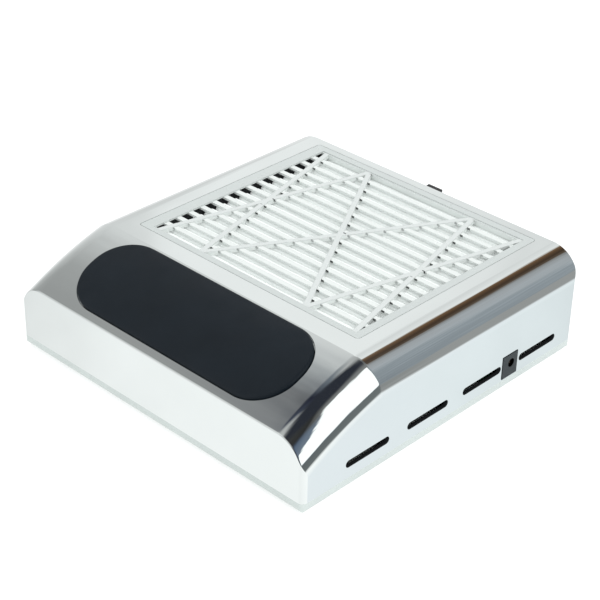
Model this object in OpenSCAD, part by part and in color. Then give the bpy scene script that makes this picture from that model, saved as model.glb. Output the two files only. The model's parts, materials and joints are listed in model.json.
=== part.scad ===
// Desk-top nail dust collector: a low box with a palm slope, a lift-out pleated
// filter cartridge in its top, and a 120 mm axial fan that blows down into the
// base and out through slots in both side walls.
// Origin: centre of the whole footprint, proud rocker included, on the table.
// +X right, +Y back, +Z up. Units: mm.

/* [Housing] */
// Width of the housing, left to right
body_w = 250; // [246:1:258]
// Depth of the housing, front to back
body_d = 250; // [248:1:256]
// Height of the top plate above the table
body_h = 71.5; // [71:0.5:74]
// Thickness of the moulded housing walls
wall = 2.5; // [2.2:0.1:2.8]
// Radius where the top plate rolls over into the side walls
edge_r = 21; // [19:0.5:21]
// Radius of the palm slope's shallow curve, seen from the side
slope_r = 260; // [240:5:280]
// Angle at which the palm slope leaves the top plate
crest_angle = 14; // [13:0.5:15]
// Depth of the palm slope, measured back from the front face
slope_d = 61; // [60:0.5:62]
// Radius of the four upright corners
corner_r = 4; // [3:0.5:5]
// Height of the base plate's visible band
band_h = 6.3; // [6:0.1:7]
// How far the rubber feet stand below the base plate
foot_h = 2; // [1.5:0.1:2.5]

/* [Air outlets] */
// Length of each outlet slot
slot_l = 36.5; // [30:0.5:37]
// Height of each outlet slot
slot_h = 4.5; // [3:0.1:4.8]
// Height of the slots' centre line above the table
slot_z = 18; // [17:0.5:19]

/* [Palm pad] */
// Width of the pad
pad_w = 181; // [174:1:184]
// Length of the pad down the slope, as a chord
pad_l = 58.5; // [54:0.5:58.5]
// Corner radius of the pad
pad_r = 27; // [20:1:28]
// How far the pad's middle lies down the slope from its crest
pad_from_crest = 30.5; // [30:0.5:32]
// How far the pad stands above the slope
pad_rise = 2.4; // [2:0.1:3]

/* [Filter cartridge] */
// Width of the cartridge's flange
filter_w = 190; // [186:1:190]
// Depth of the cartridge's flange
filter_d = 167.5; // [165:0.5:167.5]
// Width of the window in the flange
window_w = 175.5; // [172:0.5:176]
// Depth of the window in the flange
window_d = 157.5; // [155:0.5:157.5]
// Number of openings between the slats
slat_gaps = 15; // [12:1:16]
// Width of one slat
slat_w = 3.7; // [3:0.1:4]
// Width of one diagonal bar
bar_w = 3.6; // [3:0.1:5]

/* [Fan] */
// Side of the square fan frame
fan_size = 120; // [120:1:120]
// Thickness of the fan
fan_t = 25; // [25:1:25]
// Number of blades
blades = 7; // [5:1:9]

/* [Power] */
// Radius of the power socket's bore
socket_bore_r = 3; // [2.9:0.05:3.1]
// Radius of the power socket's centre pin
socket_pin_r = 1.05; // [1:0.05:1.25]
// Angle the rocker leans from its middle position
rocker_lean = 8; // [6:0.5:8]

/* [Hidden] */
$fn = 64;
slope_fn = 360;

eps = 0.01;
half_w = body_w / 2;
half_d = body_d / 2;
crest_y = slope_d - half_d;
slope_axis_y = crest_y + slope_r * sin(crest_angle);
slope_axis_z = body_h - slope_r * cos(crest_angle);
shell_z = foot_h + band_h;
floor_z = foot_h + wall;

// Outlet slots along each side wall; the third gives way to the power socket
slot_y = [-71.5, -18.5, 32.5, 87.5];

// Screw posts that tie the shell to the base plate
base_post_x = half_w - 11;
base_post_y = [13 - half_d, 8, half_d - 13];
base_boss_z = floor_z + 1.5;
post_r = 4;

// Filter cartridge, from the top down
filter_y = 33.75;
window_x = 1.75;
window_y = 33.25;
flange_t = 1.2;
ledge_z = body_h - flange_t - 0.05;
box_wall = 1.6;
box_w = filter_w - 4;
box_d = window_d + 2 * box_wall + 0.8;
cart_bottom = body_h - 20.5;
gasket_t = 1.5;
slat_pitch = window_d / slat_gaps;
slat_top = body_h - 0.8;
slat_t = 1.6;
bar_top = body_h - 0.4;
bar_t = 2.8;
lattice_x = [-82, -42.5, 48.5, 88];
lip_t = 1;
lap = 0.3;
grid_z = cart_bottom + 3;
grid_t = 1.2;
media_z = grid_z + grid_t + 0.1;
media_top = bar_top - bar_t - 0.5;
media_w = window_w - 3;
media_t = 0.9;

// Fan deck and fan, hung below the cartridge
deck_top = cart_bottom - gasket_t;
deck_t = 2.5;
deck_w = 212;
deck_y = [-56, 114.5];
deck_post_x = 100;
deck_post_y = [-30, 95];
fan_y = 33;
fan_top = deck_top - deck_t;
fan_z = fan_top - fan_t;
fan_bore_r = 57.5;
fan_hole = 52.5;
hub_r = 20;
guard_wire_r = 0.8;
guard_rings = [14, 24.5, 35, 45.5, 56];

// Power board and socket
board_z = floor_z + 3.2;
board_t = 1.6;
board_x = [86, 118];
board_y = [44, 84];
board_holes = [[90, 48], [90, 80], [114, 79]];
jack_y = 59.8;
jack_w = 14.4;
jack_z = board_z + board_t;
jack_h = 16;
jack_depth = 15;
jack_face = half_w + 0.4;
jack_bore_y = jack_y + 1;
jack_bore_z = jack_z + 9.3;
jack_bore_l = 10;
pin_root_r = 1.5;
header_at = [[93, 60], [93, 70]];

// Rocker switch high on the back wall, in its own frame at the pivot
switch_z = 60.5;
pivot_y = half_d - 1.5;
rocker_w = 12;
rocker_half = 7;
rocker_top = 9.6;
rocker_reach = 8.8;
lever_y = -6.1;

// ---------- shared shapes ----------

// Everything is drawn about the housing's own centre. The rocker stands proud of the
// back wall, so that centre lies half the rocker's reach in front of the origin.
module placed() {
    translate([0, -rocker_reach / 2, 0])
        children();
}

module rounded_rect(w, d, r) {
    square([w - 2 * r, d], center = true);
    square([w, d - 2 * r], center = true);
    for (x = [-1, 1], y = [-1, 1])
        translate([x * (w / 2 - r), y * (d / 2 - r)])
            circle(r);
}

module rounded_plate(w, d, r, t) {
    linear_extrude(t)
        rounded_rect(w, d, r);
}

// Lying cylinder along X, centred
module x_cylinder(r, l) {
    rotate([0, 90, 0])
        cylinder(r = r, h = l, center = true);
}

// Round-ended slot that runs along Y and is cut along X
module y_slot(l, h, depth) {
    cube([depth, l - h, h], center = true);
    for (s = [-1, 1])
        translate([0, s * (l - h) / 2, 0])
            x_cylinder(h / 2, depth);
}

// Pan-head screw, head up, with its shaft hanging from z = 0
module screw(head_r, head_h, shaft_r, shaft_l) {
    difference() {
        cylinder(r = head_r, h = head_h);
        for (a = [0, 90])
            rotate([0, 0, a])
                translate([0, 0, head_h])
                    cube([head_r * 1.1, 0.8, head_h], center = true);
    }
    translate([0, 0, -shaft_l])
        cylinder(r = shaft_r, h = shaft_l + eps);
}

// Round flex along an axis-aligned route, with a quarter bend at each corner
module flex(points, r, bend) {
    last = len(points) - 1;
    for (i = [0 : last - 1]) {
        run = points[i + 1] - points[i];
        dir = run / norm(run);
        near = i == 0 ? 0 : bend;
        far = i == last - 1 ? 0 : bend;
        translate(points[i] + near * dir)
            rotate([0, acos(dir[2]), atan2(dir[1], dir[0])])
                cylinder(r = r, h = norm(run) - near - far);
    }
    for (i = [1 : last - 1]) {
        u = (points[i] - points[i - 1]) / norm(points[i] - points[i - 1]);
        v = (points[i + 1] - points[i]) / norm(points[i + 1] - points[i]);
        w = cross(u, v);
        c = points[i] + bend * (v - u);
        multmatrix([
            [-v[0], u[0], w[0], c[0]],
            [-v[1], u[1], w[1], c[1]],
            [-v[2], u[2], w[2], c[2]],
            [0, 0, 0, 1]
        ])
            rotate_extrude(angle = 90)
                translate([bend, 0])
                    circle(r);
    }
}

// ---------- housing ----------

// Front view of the housing, drawn t inside its outer face
module housing_section(t, z0) {
    translate([t - half_w, z0])
        square([body_w - 2 * t, body_h - edge_r - z0]);
    translate([edge_r - half_w, z0])
        square([body_w - 2 * edge_r, body_h - t - z0]);
    for (s = [-1, 1])
        translate([s * (half_w - edge_r), body_h - edge_r])
            circle(edge_r - t);
}

// The same section drawn outwards from the slope's axis
module slope_section(t) {
    translate([0, t - half_w])
        square([slope_r - edge_r, body_w - 2 * t]);
    translate([0, edge_r - half_w])
        square([slope_r - t, body_w - 2 * edge_r]);
    for (s = [-1, 1])
        translate([slope_r - edge_r, s * (half_w - edge_r)])
            circle(edge_r - t);
}

// Solid form of the housing from z0 up, t inside its outer face
module housing_form(t, z0) {
    lap = 5;
    intersection() {
        translate([0, half_d - t, 0])
            rotate([90, 0, 0])
                linear_extrude(body_d - 2 * t)
                    housing_section(t, z0);
        union() {
            translate([-half_w - 1, crest_y + lap, z0 - 1])
                cube([body_w + 2, body_d, body_h]);
            intersection() {
                translate([0, slope_axis_y, slope_axis_z])
                    rotate([0, 90, 0])
                        rotate_extrude($fn = slope_fn)
                            slope_section(t);
                translate([-half_w - 1, -half_d - 1, z0 - 1])
                    cube([body_w + 2, slope_d + lap + 1, body_h + 10]);
            }
        }
        translate([0, 0, z0])
            rounded_plate(body_w - 2 * t, body_d - 2 * t, corner_r - t / 2, body_h);
    }
}

// Frame whose origin is on the slope's axis and whose Z passes through the pad's middle
module on_slope() {
    mid_angle = crest_angle + asin(pad_from_crest / slope_r);
    translate([0, slope_axis_y, slope_axis_z])
        rotate([mid_angle, 0, 0])
            children();
}

// Slab that follows the slope between two radii, with the pad's outline moved in by inset
module slope_slab(inset, r_in, r_out) {
    on_slope()
        intersection() {
            difference() {
                x_cylinder(r_out, body_w, $fn = slope_fn);
                x_cylinder(r_in, body_w + 2, $fn = slope_fn);
            }
            translate([0, 0, slope_r - 30])
                rounded_plate(pad_w - 2 * inset, pad_l - 2 * inset, pad_r - inset, 50);
        }
}

pad_bed_r = slope_r - 4.5;
pad_floor_r = slope_r - 1.4;
pad_post_x = [-70, -35, 0, 35, 70];

module pad_posts(r, z0, z1) {
    on_slope()
        for (x = pad_post_x)
            translate([x, 0, z0])
                cylinder(r = r, h = z1 - z0);
}

module filter_ledge() {
    translate([0, filter_y, ledge_z - 3])
        rounded_plate(filter_w + 5.6, filter_d + 5.6, 4, 3.2);
}

module filter_opening() {
    seam = 0.35;
    translate([0, filter_y, ledge_z])
        rounded_plate(filter_w + 2 * seam, filter_d + 2 * seam, 2.5, 5);
    translate([0, window_y, ledge_z - 5])
        rounded_plate(box_w + 0.8, box_d + 0.8, 2, 10);
}

module base_posts(r, z0) {
    for (x = [-base_post_x, base_post_x], y = base_post_y)
        translate([x, y, z0])
            cylinder(r = r, h = body_h);
}

module deck_posts(r, z0, h) {
    for (x = [-deck_post_x, deck_post_x], y = deck_post_y)
        translate([x, y, z0])
            cylinder(r = r, h = h);
}

module side_slots() {
    for (s = [-1, 1], y = slot_y)
        translate([s * half_w, y, slot_z])
            y_slot(slot_l, slot_h, 4 * wall);
}

module socket_window() {
    gap = 0.15;
    translate([half_w - 2 * wall, jack_y - jack_w / 2 - gap, jack_z - gap])
        cube([4 * wall, jack_w + 2 * gap, jack_h + 2 * gap]);
}

module switch_window() {
    translate([-7.2, half_d - 2 * wall, switch_z - 8.4])
        cube([14.4, 4 * wall, 16.8]);
    translate([-9, half_d - 11.1, switch_z - 10])
        cube([18, 11.1 - wall, body_h - wall - switch_z + 10]);
}

module top_shell() {
    color([0.86, 0.88, 0.87]) placed()
        difference() {
            union() {
                difference() {
                    housing_form(0, shell_z);
                    housing_form(wall, shell_z - 1);
                }
                filter_ledge();
                slope_slab(-3, pad_bed_r, slope_r - wall / 2);
                intersection() {
                    union() {
                        base_posts(post_r, base_boss_z + 0.1);
                        deck_posts(post_r, deck_top, body_h);
                    }
                    housing_form(wall / 2, base_boss_z);
                }
            }
            filter_opening();
            side_slots();
            socket_window();
            switch_window();
            slope_slab(0, pad_floor_r, slope_r + 5);
            pad_posts(1.7, pad_bed_r - 3, slope_r);
            base_posts(1.52, base_boss_z - body_h + 14);
            deck_posts(1.52, deck_top - 1, 12);
        }
}

// ---------- base ----------

// Section of the base plate with rounded lower edges
module band_section(w, r) {
    translate([-w / 2, foot_h + r])
        square([w, band_h - r]);
    translate([r - w / 2, foot_h])
        square([w - 2 * r, band_h]);
    for (s = [-1, 1])
        translate([s * (w / 2 - r), foot_h + r])
            circle(r);
}

module base_form() {
    lower_edge_r = 2.5;
    intersection() {
        rotate([90, 0, 0])
            translate([0, 0, -half_d])
                linear_extrude(body_d)
                    band_section(body_w, lower_edge_r);
        rotate([90, 0, 90])
            translate([0, 0, -half_w])
                linear_extrude(body_w)
                    band_section(body_d, lower_edge_r);
        rounded_plate(body_w, body_d, corner_r, body_h);
    }
}

foot_xy = 100;
foot_r = 8;

module feet(r, z0, h) {
    for (x = [-foot_xy, foot_xy], y = [-foot_xy, foot_xy])
        translate([x, y, z0])
            cylinder(r = r, h = h);
}

module base_tongue() {
    gap = 0.15;
    tongue_t = 1.2;
    outer = 2 * (wall + gap);
    inner = outer + 2 * tongue_t;
    translate([0, 0, floor_z])
        difference() {
            rounded_plate(body_w - outer, body_d - outer, corner_r - 1.5, shell_z - floor_z + 2.5);
            translate([0, 0, -1])
                rounded_plate(body_w - inner, body_d - inner, corner_r - 2, body_h);
        }
}

module base_plate() {
    color([0.80, 0.84, 0.83]) placed()
        difference() {
            union() {
                difference() {
                    base_form();
                    translate([0, 0, floor_z])
                        rounded_plate(body_w - 2 * wall, body_d - 2 * wall, corner_r - 1.5, body_h);
                }
                base_tongue();
                for (x = [-base_post_x, base_post_x], y = base_post_y)
                    translate([x, y, floor_z - eps])
                        cylinder(r = 5, h = base_boss_z - floor_z + eps);
                for (p = board_holes)
                    translate([p[0], p[1], floor_z - eps])
                        cylinder(r = 2.6, h = board_z - floor_z + eps);
            }
            feet(foot_r + 0.2, foot_h - 1, 2);
            base_posts(1.6, 0);
            base_posts(3.3, foot_h + 1.7 - body_h);
            for (p = board_holes)
                translate([p[0], p[1], floor_z - 1])
                    cylinder(r = 1.02, h = 10);
            translate([half_w - 8, jack_y - jack_w / 2 - 1, shell_z])
                cube([8, jack_w + 2, 10]);
        }
}

module base_screws() {
    color([0.55, 0.56, 0.58]) placed()
        for (x = [-base_post_x, base_post_x], y = base_post_y)
            translate([x, y, foot_h + 1.7])
                rotate([180, 0, 0])
                    screw(3, 1.4, 1.5, 10);
}

module rubber_feet() {
    color([0.10, 0.10, 0.11]) placed()
        union() {
            feet(foot_r, 0.6, foot_h + 0.35);
            feet(foot_r - 0.6, 0, 1);
        }
}

// ---------- palm pad ----------

module pad_cover() {
    color([0.14, 0.16, 0.18]) placed()
        difference() {
            slope_slab(0.25, pad_floor_r + 0.1, slope_r + pad_rise);
            slope_slab(1.05, pad_floor_r - 2, slope_r + pad_rise - 0.8);
        }
}

module pad_foam() {
    color([0.30, 0.31, 0.33]) placed()
        slope_slab(1.25, pad_floor_r + 1.2, slope_r + pad_rise - 0.9);
}

module pad_plate() {
    color([0.12, 0.12, 0.13]) placed() {
        slope_slab(1.15, pad_floor_r + 0.1, pad_floor_r + 1.1);
        pad_posts(1.5, pad_bed_r - 1, pad_floor_r + 0.6);
        pad_posts(2.7, pad_bed_r - 1.8, pad_bed_r - 0.4);
    }
}

// ---------- filter cartridge ----------

// One straight bar between two points of the lattice
module diagonal_bar(from, to) {
    run = to - from;
    translate([from[0], from[1], bar_top - bar_t])
        rotate([0, 0, atan2(run[1], run[0])])
            translate([-bar_w, -bar_w / 2, 0])
                cube([norm(run) + 2 * bar_w, bar_w, bar_t]);
}

module filter_lattice() {
    front = window_y - window_d / 2;
    back = window_y + window_d / 2;
    left = window_x - window_w / 2 - 1;
    for (i = [1 : slat_gaps - 1])
        translate([left, front + i * slat_pitch - slat_w / 2, slat_top - slat_t])
            cube([window_w + 2, slat_w, slat_t]);
    intersection() {
        for (i = [0 : len(lattice_x) - 2]) {
            diagonal_bar([lattice_x[i], front], [lattice_x[i + 1], back]);
            diagonal_bar([lattice_x[i + 1], front], [lattice_x[i], back]);
        }
        translate([left, front - lap, 0])
            cube([window_w + 2, window_d + 2 * lap, body_h + 10]);
    }
}

module filter_frame() {
    color([0.84, 0.87, 0.86]) placed() {
        difference() {
            translate([0, filter_y, body_h - flange_t])
                rounded_plate(filter_w, filter_d, 2, flange_t);
            translate([window_x, window_y, grid_z])
                linear_extrude(body_h)
                    square([window_w, window_d], center = true);
        }
        filter_lattice();
        lip_bottom = media_top - 1.5;
        lip_top = body_h - flange_t / 2;
        for (s = [-1, 1])
            translate([window_x, window_y + s * (window_d - lip_t) / 2, (lip_bottom + lip_top) / 2])
                cube([window_w + 1, lip_t + lap, lip_top - lip_bottom], center = true);
    }
}

// Zigzag of the pleats: ridge and valley points, then back along the underside
function pleat_line(n, drop) = [
    for (i = [0 : 2 * n])
        [i * slat_pitch / 2, (i % 2 == 0 ? media_z + media_t : media_top) - drop]
];

module filter_media() {
    pleats = slat_gaps - 1;
    upper = pleat_line(pleats, 0);
    lower = pleat_line(pleats, media_t);
    reversed = [for (i = [len(lower) - 1 : -1 : 0]) lower[i]];
    color([0.95, 0.96, 0.95]) placed()
        translate([window_x - media_w / 2, window_y - pleats * slat_pitch / 2, 0])
            rotate([90, 0, 90])
                linear_extrude(media_w)
                    polygon(concat(upper, reversed));
}

// Dark tray under the flange: four walls, with a grid that carries the paper
module filter_tray() {
    rim = 4;
    rib = 2;
    inner_w = box_w - 2 * box_wall;
    inner_d = box_d - 2 * box_wall;
    color([0.16, 0.17, 0.18]) placed() {
        translate([0, window_y, cart_bottom])
            difference() {
                rounded_plate(box_w, box_d, 1.6, body_h - flange_t - 0.05 - cart_bottom);
                translate([0, 0, -1])
                    linear_extrude(body_h)
                        square([inner_w, inner_d], center = true);
            }
        translate([0, window_y, grid_z])
            linear_extrude(grid_t) {
                difference() {
                    square([inner_w + 1, inner_d + 1], center = true);
                    square([inner_w - 2 * rim, inner_d - 2 * rim], center = true);
                }
                for (i = [-3 : 3])
                    translate([i * inner_w / 8, 0])
                        square([rib, inner_d - rim], center = true);
                for (i = [-3 : 3])
                    translate([0, i * inner_d / 8])
                        square([inner_w - rim, rib], center = true);
            }
    }
}

module filter_gasket() {
    color([0.20, 0.20, 0.21]) placed()
        translate([0, window_y, deck_top + 0.05])
            difference() {
                rounded_plate(box_w, box_d, 1.6, gasket_t - 0.05);
                translate([0, 0, -1])
                    linear_extrude(gasket_t + 2)
                        square([window_w - 4, window_d - 4], center = true);
            }
}

// ---------- fan deck ----------

module fan_corners(r, z0, h) {
    for (x = [-fan_hole, fan_hole], y = [-fan_hole, fan_hole])
        translate([x, fan_y + y, z0])
            cylinder(r = r, h = h);
}

module fan_deck() {
    color([0.16, 0.17, 0.18]) placed()
        difference() {
            translate([0, (deck_y[0] + deck_y[1]) / 2, fan_top])
                rounded_plate(deck_w, deck_y[1] - deck_y[0], 6, deck_t - 0.05);
            translate([0, fan_y, fan_top - 1])
                cylinder(r = fan_bore_r, h = deck_t + 2);
            fan_corners(2.2, fan_top - 1, deck_t + 2);
            deck_posts(1.7, fan_top - 1, deck_t + 2);
        }
}

module deck_screws() {
    color([0.55, 0.56, 0.58]) placed()
        for (x = [-deck_post_x, deck_post_x], y = deck_post_y)
            translate([x, y, fan_top])
                rotate([180, 0, 0])
                    screw(3, 1.6, 1.5, 10);
}

module wire_ring(r, z) {
    translate([0, fan_y, z])
        rotate_extrude()
            translate([r, 0])
                circle(guard_wire_r);
}

module fan_guard() {
    leg_z = deck_top + guard_wire_r;
    ring_z = leg_z + 1.3 * guard_wire_r;
    eyelet_r = 3.2;
    color([0.66, 0.68, 0.70]) placed() {
        for (r = guard_rings)
            wire_ring(r, ring_z);
        for (a = [45 : 90 : 315])
            translate([0, fan_y, leg_z])
                rotate([0, 0, a]) {
                    translate([guard_rings[0] - 1, 0, 0])
                        rotate([0, 90, 0])
                            cylinder(r = guard_wire_r, h = fan_hole * sqrt(2) - eyelet_r - guard_rings[0] + 1);
                    translate([fan_hole * sqrt(2), 0, 0])
                        rotate_extrude()
                            translate([eyelet_r, 0])
                                circle(guard_wire_r);
                }
    }
}

module fan_screws() {
    color([0.30, 0.31, 0.33]) placed()
        for (x = [-fan_hole, fan_hole], y = [-fan_hole, fan_hole])
            translate([x, fan_y + y, deck_top + 2 * guard_wire_r + 0.02])
                screw(3.9, 2.2, 2.1, 13);
}

// ---------- fan ----------

module fan_frame() {
    strut_w = 5;
    color([0.08, 0.08, 0.09]) placed()
        translate([0, fan_y, fan_z])
            difference() {
                union() {
                    difference() {
                        rounded_plate(fan_size, fan_size, 6, fan_t - 0.02);
                        translate([0, 0, -1])
                            cylinder(r = fan_bore_r, h = fan_t + 2);
                    }
                    cylinder(r = hub_r, h = 2);
                    for (a = [45 : 90 : 315])
                        rotate([0, 0, a])
                            translate([hub_r - 2, -strut_w / 2, 0])
                                cube([fan_bore_r - hub_r + 4, strut_w, 3]);
                    cylinder(r = 5.5, h = 20);
                }
                translate([0, 0, 1.2])
                    cylinder(r = 4.02, h = 20);
                for (x = [-fan_hole, fan_hole], y = [-fan_hole, fan_hole])
                    translate([x, y, -1])
                        cylinder(r = 2.15, h = fan_t + 2);
            }
}

module fan_blade() {
    pitch = 50;
    chord = 23;
    translate([hub_r - 0.5, 0, 14.7])
        rotate([pitch, 0, 0])
            translate([0, -0.7, -chord / 2])
                cube([40, 1.4, chord]);
}

module fan_rotor() {
    hub_bottom = 6;
    hub_top = 23.5;
    color([0.13, 0.13, 0.14]) placed()
        translate([0, fan_y, fan_z]) {
            difference() {
                union() {
                    translate([0, 0, hub_bottom])
                        cylinder(r = hub_r, h = hub_top - hub_bottom);
                    intersection() {
                        for (i = [0 : blades - 1])
                            rotate([0, 0, i * 360 / blades])
                                fan_blade();
                        cylinder(r = fan_bore_r - 1.5, h = fan_t - 1);
                    }
                }
                translate([0, 0, hub_bottom - 1])
                    cylinder(r = hub_r - 0.8, h = hub_top - hub_bottom - 1);
                translate([0, 0, 10])
                    cylinder(r = 1.5, h = 13);
            }
            translate([0, 0, 20.6])
                difference() {
                    cylinder(r = 3, h = 1);
                    translate([0, 0, -1])
                        cylinder(r = 1.5, h = 4);
                }
        }
}

// Ring about the fan's axis, placed from the fan's lower face
module fan_ring(r_in, r_out, z0, h) {
    translate([0, fan_y, fan_z + z0])
        difference() {
            cylinder(r = r_out, h = h);
            translate([0, 0, -1])
                cylinder(r = r_in, h = h + 2);
        }
}

module fan_yoke() {
    color([0.62, 0.63, 0.65]) placed()
        fan_ring(hub_r - 1.6, hub_r - 0.85, 6.5, 14);
}

module fan_magnet() {
    color([0.25, 0.22, 0.20]) placed()
        fan_ring(hub_r - 4, hub_r - 1.65, 7, 10);
}

module fan_shaft() {
    color([0.75, 0.76, 0.78]) placed()
        translate([0, fan_y, fan_z + 1.8])
            cylinder(r = 1.5, h = 21);
}

module fan_clip() {
    color([0.35, 0.36, 0.38]) placed()
        difference() {
            fan_ring(1.5, 3, 2.2, 0.5);
            translate([2.5, fan_y, fan_z + 2.4])
                cube([4, 1.6, 2], center = true);
        }
}

// Ball bearing: two rings and the ring of balls between them
module ball_bearing(z0) {
    inner_r = 1.54;
    outer_r = 4;
    width = 4;
    ball_r = 0.5;
    pitch_r = (inner_r + outer_r) / 2;
    race = ball_r + 0.03;
    fan_ring(inner_r, pitch_r - race, z0, width);
    fan_ring(pitch_r + race, outer_r, z0, width);
    translate([0, fan_y, fan_z + z0 + width / 2])
        for (a = [0 : 60 : 300])
            rotate([0, 0, a])
                translate([pitch_r, 0, 0])
                    sphere(ball_r);
}

module bearing_upper() {
    color([0.70, 0.71, 0.73]) placed()
        ball_bearing(16);
}

module bearing_lower() {
    color([0.70, 0.71, 0.73]) placed()
        ball_bearing(3.2);
}

module fan_stator() {
    arm_w = 4.6;
    shoe_r = hub_r - 4.5;
    color([0.50, 0.51, 0.53]) placed()
        translate([0, fan_y, fan_z + 8.5])
            difference() {
                union() {
                    cylinder(r = 7.6, h = 8);
                    for (a = [0, 90])
                        rotate([0, 0, a])
                            translate([-shoe_r + 1, -arm_w / 2, 0])
                                cube([2 * shoe_r - 2, arm_w, 8]);
                    difference() {
                        cylinder(r = shoe_r, h = 8);
                        translate([0, 0, -1])
                            cylinder(r = shoe_r - 2.6, h = 10);
                        for (a = [45, 135])
                            rotate([0, 0, a])
                                cube([40, 4, 40], center = true);
                    }
                }
                translate([0, 0, -1])
                    cylinder(r = 5.55, h = 10);
            }
}

module fan_windings() {
    coil_l = 4;
    color([0.72, 0.42, 0.20]) placed()
        translate([0, fan_y, fan_z + 12.5])
            for (a = [0 : 90 : 270])
                rotate([0, 0, a])
                    translate([10.1, 0, 0])
                        difference() {
                            cube([coil_l, 8.2, 10.4], center = true);
                            cube([coil_l + 1, 4.8, 8.2], center = true);
                        }
}

module fan_board() {
    board_r = 17;
    color([0.10, 0.32, 0.18]) placed() {
        fan_ring(5.7, board_r, 4.4, 1.2);
        translate([12, fan_y, fan_z + 3.9])
            cube([4, 3, 1.02], center = true);
    }
}

// ---------- power ----------

module power_board() {
    color([0.10, 0.34, 0.20]) placed()
        difference() {
            translate([board_x[0], board_y[0], board_z + 0.02])
                cube([board_x[1] - board_x[0], board_y[1] - board_y[0], board_t - 0.04]);
            for (p = board_holes)
                translate([p[0], p[1], board_z - 1])
                    cylinder(r = 1.3, h = board_t + 2);
        }
}

module board_screws() {
    color([0.55, 0.56, 0.58]) placed()
        for (p = board_holes)
            translate([p[0], p[1], jack_z])
                screw(2.2, 1.4, 1, 4.2);
}

module power_capacitor() {
    can_r = 4;
    can_h = 12;
    color([0.12, 0.16, 0.30]) placed()
        translate([103, 74, jack_z]) {
            cylinder(r = can_r, h = 1);
            translate([0, 0, 1 - eps])
                cylinder(r = can_r - 0.3, h = 0.8);
            translate([0, 0, 1.8 - 2 * eps])
                cylinder(r = can_r, h = can_h - 1.8);
        }
}

module header_block(w, d, h) {
    translate([-w / 2, -d / 2, 0])
        cube([w, d, h]);
}

module cable_headers() {
    color([0.90, 0.89, 0.84]) placed()
        for (p = header_at)
            translate([p[0], p[1], jack_z])
                difference() {
                    header_block(6, 8, 6);
                    translate([0, 0, 1])
                        header_block(4.4, 6.4, 6);
                }
}

module cable_plugs() {
    color([0.94, 0.93, 0.90]) placed()
        for (p = header_at)
            translate([p[0], p[1], jack_z + 1.1])
                header_block(4.2, 6.2, 7);
}

module jack_housing() {
    color([0.25, 0.27, 0.29]) placed()
        difference() {
            translate([jack_face - jack_depth, jack_y - jack_w / 2, jack_z])
                cube([jack_depth, jack_w, jack_h]);
            translate([jack_face - jack_bore_l / 2 + 1, jack_bore_y, jack_bore_z])
                x_cylinder(socket_bore_r, jack_bore_l + 2);
            translate([jack_face - jack_depth, jack_bore_y, jack_bore_z])
                x_cylinder(pin_root_r + 0.02, jack_depth);
            translate([jack_face - jack_bore_l + 0.5, jack_bore_y - 1.5, jack_z + 2])
                cube([jack_bore_l - 2, 3, jack_bore_z - jack_z - 4]);
        }
}

// The pin's thicker root fills the housing's back wall, and its free end takes the plug
module jack_pin() {
    free_end = jack_face - 1 - socket_pin_r;
    shoulder = jack_face - jack_bore_l + 0.5;
    root_end = jack_face - jack_depth - 2;
    color([0.80, 0.81, 0.83]) placed() {
        translate([(shoulder + free_end) / 2, jack_bore_y, jack_bore_z])
            x_cylinder(socket_pin_r, free_end - shoulder);
        translate([free_end, jack_bore_y, jack_bore_z])
            sphere(socket_pin_r);
        translate([(root_end + shoulder) / 2, jack_bore_y, jack_bore_z])
            x_cylinder(pin_root_r, shoulder - root_end);
        translate([root_end, jack_bore_y, jack_bore_z])
            x_cylinder(2.2, 0.8);
    }
}

module jack_spring() {
    color([0.80, 0.68, 0.40]) placed()
        translate([jack_face - jack_bore_l + 0.8, jack_bore_y - 1.2, jack_z + 2.1])
            cube([jack_bore_l - 2.6, 2.4, 0.5]);
}

// ---------- rocker switch ----------

// Frame at the rocker's pivot: local X across, local Y out of the back wall, local Z up
module at_switch() {
    translate([0, pivot_y, switch_z])
        children();
}

// Outline in the switch's side view, drawn across the given width
module across(width) {
    rotate([90, 0, 90])
        translate([0, 0, -width / 2])
            linear_extrude(width)
                children();
}

module switch_housing() {
    color([0.07, 0.07, 0.08]) placed()
        at_switch()
            difference() {
                union() {
                    translate([0, 2.7, 0])
                        rotate([90, 0, 0])
                            rounded_plate(16.6, 18.4, 1.5, 1.18);
                    translate([-7.1, -8.5, -8.3])
                        cube([14.2, 10.1, 16.6]);
                }
                translate([-6.25, -7.5, -7.45])
                    cube([12.5, 20, 14.9]);
                x_cylinder(1.5, 20);
                for (x = [-2.5, 2.5])
                    translate([x - 1.3, -7.5, -9])
                        cube([2.6, 0.75, 3]);
            }
}

module rocker_body() {
    dish_r = 32;
    side = [
        [rocker_top, -rocker_half], [rocker_top, rocker_half], [1, rocker_half],
        [-1.5, 2.6], [-1.5, -2.6], [1, -rocker_half]
    ];
    difference() {
        across(rocker_w)
            polygon(side);
        translate([0, rocker_top + dish_r - 1, 0])
            x_cylinder(dish_r, rocker_w + 2);
        rotate([90, 0, 0])
            translate([0, 0, -1])
                cylinder(r = 1.3, h = 5);
    }
    x_cylinder(1.45, 13.8);
}

module switch_rocker() {
    color([0.05, 0.05, 0.06]) placed()
        at_switch()
            rotate([rocker_lean, 0, 0])
                rocker_body();
}

module switch_plunger() {
    tip = -5.2;
    color([0.76, 0.62, 0.32]) placed()
        at_switch()
            rotate([rocker_lean, 0, 0]) {
                translate([0, -1.6, 0])
                    rotate([90, 0, 0])
                        cylinder(r = 0.9, h = -tip - 2.5);
                translate([0, tip + 0.9, 0])
                    sphere(0.9);
            }
}

module switch_lever() {
    color([0.78, 0.60, 0.36]) placed()
        at_switch()
            translate([0, lever_y, 0])
                rotate([-rocker_lean / 2, 0, 0])
                    translate([-3.5, 0, -4.8])
                        cube([7, 0.45, 9.6]);
}

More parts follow.
